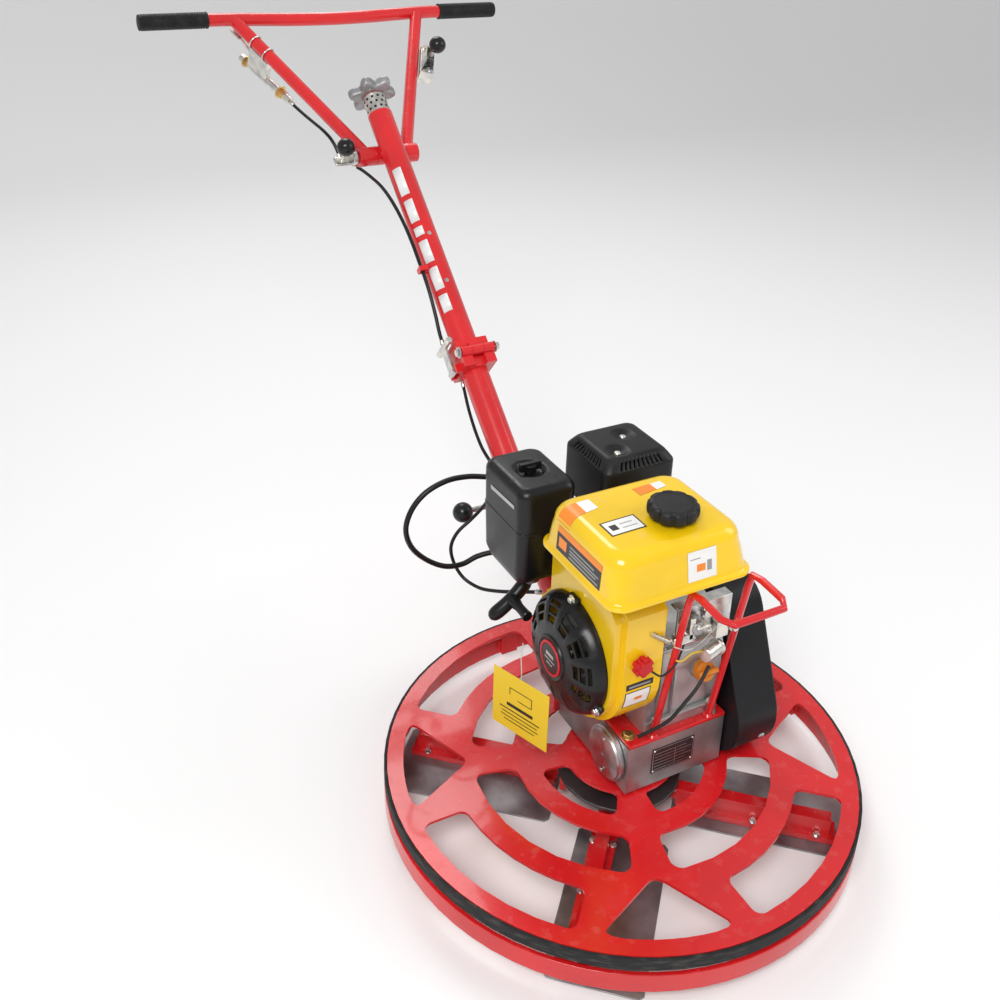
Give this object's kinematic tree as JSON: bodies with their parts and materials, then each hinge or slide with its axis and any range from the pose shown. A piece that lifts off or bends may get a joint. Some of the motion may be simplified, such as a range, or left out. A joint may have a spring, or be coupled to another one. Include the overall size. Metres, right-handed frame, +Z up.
{
  "type": "walk-behind power trowel",
  "caption": "Walk-behind concrete finishing machine: round slotted guard plate over a four-armed rotor with flat blades, a small petrol engine on top and a folding T handle.",
  "frame": {"origin": "on the floor under the middle of the machine's overall box, where the blades' flat undersides stand", "axes": "+Z up, +Y from the round guard back towards the operator's handlebar, +X towards the belt guard, the operator's right"},
  "size_m": [0.672, 1.4076, 0.9146],
  "materials": {
    "red_paint": "gloss enamel, worn at the edges",
    "yellow_paint": "gloss enamel",
    "black_paint": "satin powder coat",
    "black_plastic": "fine grained",
    "red_plastic": "moulded",
    "orange_plastic": "moulded",
    "rubber": "matte",
    "cast_aluminium": "rough cast",
    "machined_aluminium": "turned and satin",
    "cast_iron": "machined",
    "blade_steel": "rolled, dull",
    "steel": "oiled",
    "zinc_plate": "bright zinc",
    "tag_card": "printed card without lettering"
  },
  "bodies": {
    "chassis": {"guard_plate": "red_paint", "rubber_bumper": "rubber", "lower_guard_ring": "red_paint", "gearbox_housing": "cast_aluminium", "gearbox_end_cover": "machined_aluminium", "engine_base_plate": "red_paint", "drive_belt": "rubber", "belt_guard": "black_paint", "crankcase": "cast_aluminium", "fan_housing": "yellow_paint", "recoil_cover": "black_paint", "fuel_tank": "yellow_paint", "air_cleaner_cover": "black_plastic", "air_cleaner_base": "black_plastic", "carburettor": "cast_aluminium", "muffler_guard": "black_paint", "muffler_body": "steel", "control_plate": "zinc_plate", "lifting_bail": "red_paint", "lower_handle": "red_paint", "clutch_cable_engine": "rubber", "pitch_cable": "rubber", "caution_tag": "tag_card"},
    "crank": {"crankshaft": "steel", "flywheel": "cast_aluminium", "clutch_drum": "steel"},
    "worm": {"worm_shaft": "steel", "driven_pulley": "cast_iron"},
    "rotor": {"output_shaft": "steel", "worm_wheel": "cast_iron", "spider_hub": "red_paint"},
    "collar": {"thrust_collar": "cast_iron"},
    "arm_1": {"trowel_arm_1": "red_paint", "blade_1": "blade_steel"},
    "arm_2": {"trowel_arm_2": "red_paint", "blade_2": "blade_steel"},
    "arm_3": {"trowel_arm_3": "red_paint", "blade_3": "blade_steel"},
    "arm_4": {"trowel_arm_4": "red_paint", "blade_4": "blade_steel"},
    "upper_handle_body": {"upper_handle": "red_paint", "clutch_cable_handle": "rubber"},
    "pitch_knob_body": {"pitch_knob": "machined_aluminium"},
    "handlebar": {"handlebar_frame": "red_paint", "grip_left": "rubber", "grip_right": "rubber", "throttle_box": "zinc_plate", "clutch_lever_bracket": "steel", "clutch_cable_bar": "rubber"},
    "throttle_lever_body": {"throttle_lever": "black_plastic"},
    "clutch_lever_body": {"clutch_lever": "zinc_plate"},
    "tilt_lock_body": {"tilt_lock_lever": "zinc_plate"},
    "fold_latch_body": {"fold_latch_lever": "zinc_plate"},
    "lock_pin_body": {"handle_lock_pin": "black_plastic"},
    "throttle_arm_body": {"engine_throttle_arm": "zinc_plate"},
    "starter_grip_body": {"starter_grip": "black_plastic"},
    "fuel_cap_body": {"fuel_cap": "black_plastic"},
    "wing_nut_body": {"air_cleaner_wing_nut": "black_plastic"},
    "switch_body": {"engine_switch_knob": "red_plastic"},
    "oil_cap_body": {"oil_filler_cap": "orange_plastic"}
  },
  "joints": [
    {"name": "crank_spin", "type": "hinge", "parent": "chassis", "child": "crank", "pos_m": [0, -0.37887, 0.268], "axis": [1, 0, 0], "continuous": true},
    {"name": "worm_spin", "type": "hinge", "parent": "chassis", "child": "worm", "pos_m": [0, -0.41387, 0.114], "axis": [1, 0, 0], "continuous": true},
    {"name": "rotor_spin", "type": "hinge", "parent": "chassis", "child": "rotor", "pos_m": [0, -0.38387, 0.03], "axis": [0, 0, 1], "continuous": true},
    {"name": "collar_slide", "type": "slide", "parent": "rotor", "child": "collar", "axis": [0, 0, -1], "range_m": [0, 0.0064]},
    {"name": "blade_pitch_1", "type": "hinge", "parent": "rotor", "child": "arm_1", "pos_m": [0.08107, -0.2954, 0.022], "axis": [-0.6756, -0.7373, 0], "range_deg": [0, 12]},
    {"name": "blade_pitch_2", "type": "hinge", "parent": "rotor", "child": "arm_2", "pos_m": [-0.08847, -0.3028, 0.022], "axis": [0.7373, -0.6756, 0], "range_deg": [0, 12]},
    {"name": "blade_pitch_3", "type": "hinge", "parent": "rotor", "child": "arm_3", "pos_m": [-0.08107, -0.47234, 0.022], "axis": [0.6756, 0.7373, 0], "range_deg": [0, 12]},
    {"name": "blade_pitch_4", "type": "hinge", "parent": "rotor", "child": "arm_4", "pos_m": [0.08847, -0.46494, 0.022], "axis": [-0.7373, 0.6756, 0], "range_deg": [0, 12]},
    {"name": "handle_fold", "type": "hinge", "parent": "chassis", "child": "upper_handle_body", "pos_m": [0, 0.06927, 0.48938], "axis": [1, 0, 0], "range_deg": [0, 130]},
    {"name": "pitch_knob_turn", "type": "hinge", "parent": "upper_handle_body", "child": "pitch_knob_body", "pos_m": [0, 0.47755, 0.79689], "axis": [0, 0.757, 0.6534], "range_deg": [0, 1080]},
    {"name": "handlebar_tilt", "type": "hinge", "parent": "upper_handle_body", "child": "handlebar", "pos_m": [0, 0.41723, 0.70915], "axis": [1, 0, 0], "range_deg": [-35, 40]},
    {"name": "throttle_turn", "type": "hinge", "parent": "handlebar", "child": "throttle_lever_body", "pos_m": [0.1524, 0.58593, 0.82894], "axis": [0.9248, -0.3113, -0.2188], "range_deg": [-10, 35]},
    {"name": "engine_throttle_turn", "type": "hinge", "parent": "chassis", "child": "throttle_arm_body", "pos_m": [0.052, -0.46587, 0.344], "axis": [0, 1, 0], "range_deg": [-6, 21]},
    {"name": "clutch_lever_turn", "type": "hinge", "parent": "handlebar", "child": "clutch_lever_body", "pos_m": [-0.1447, 0.6498, 0.83349], "axis": [0.9248, 0.3113, 0.2188], "range_deg": [-28, 0]},
    {"name": "tilt_lock_turn", "type": "hinge", "parent": "handlebar", "child": "tilt_lock_body", "pos_m": [-0.06, 0.41723, 0.70915], "axis": [1, 0, 0], "range_deg": [-60, 60]},
    {"name": "fold_latch_swing", "type": "hinge", "parent": "chassis", "child": "fold_latch_body", "pos_m": [-0.035, 0.07862, 0.45253], "axis": [0, -0.6534, 0.757], "range_deg": [0, 100]},
    {"name": "lock_pin_pull", "type": "slide", "parent": "chassis", "child": "lock_pin_body", "axis": [-1, 0, 0], "range_m": [0, 0.012], "stiffness_N_per_m": 600, "springref_m": -0.006},
    {"name": "starter_pull", "type": "slide", "parent": "chassis", "child": "starter_grip_body", "axis": [-0.8004, 0.5003, 0.3302], "range_m": [0, 0.45], "stiffness_N_per_m": 15, "springref_m": -0.4},
    {"name": "fuel_cap_turn", "type": "hinge", "parent": "chassis", "child": "fuel_cap_body", "pos_m": [-0.003, -0.44687, 0.49], "axis": [0, 0, 1], "range_deg": [0, 90]},
    {"name": "wing_nut_turn", "type": "hinge", "parent": "chassis", "child": "wing_nut_body", "pos_m": [-0.084, -0.25287, 0.468], "axis": [0, 0, 1], "range_deg": [0, 720]},
    {"name": "switch_turn", "type": "hinge", "parent": "chassis", "child": "switch_body", "pos_m": [-0.048, -0.47887, 0.304], "axis": [0, 1, 0], "range_deg": [0, 90]},
    {"name": "oil_cap_turn", "type": "hinge", "parent": "chassis", "child": "oil_cap_body", "pos_m": [0.067, -0.44987, 0.238], "axis": [0, -0.9333, 0.359], "range_deg": [0, 720]}
  ],
  "couplings": [
    {"joint": "worm_spin", "follows": "crank_spin", "ratio": 1.1613},
    {"joint": "rotor_spin", "follows": "crank_spin", "ratio": -0.058065},
    {"joint": "collar_slide", "follows": "pitch_knob_turn", "m_per_rad": 0.00033953},
    {"joint": "engine_throttle_turn", "follows": "throttle_turn", "ratio": 0.6},
    {"joint": "blade_pitch_1", "follows": "pitch_knob_turn", "ratio": 0.011111},
    {"joint": "blade_pitch_2", "follows": "pitch_knob_turn", "ratio": 0.011111},
    {"joint": "blade_pitch_3", "follows": "pitch_knob_turn", "ratio": 0.011111},
    {"joint": "blade_pitch_4", "follows": "pitch_knob_turn", "ratio": 0.011111}
  ]
}
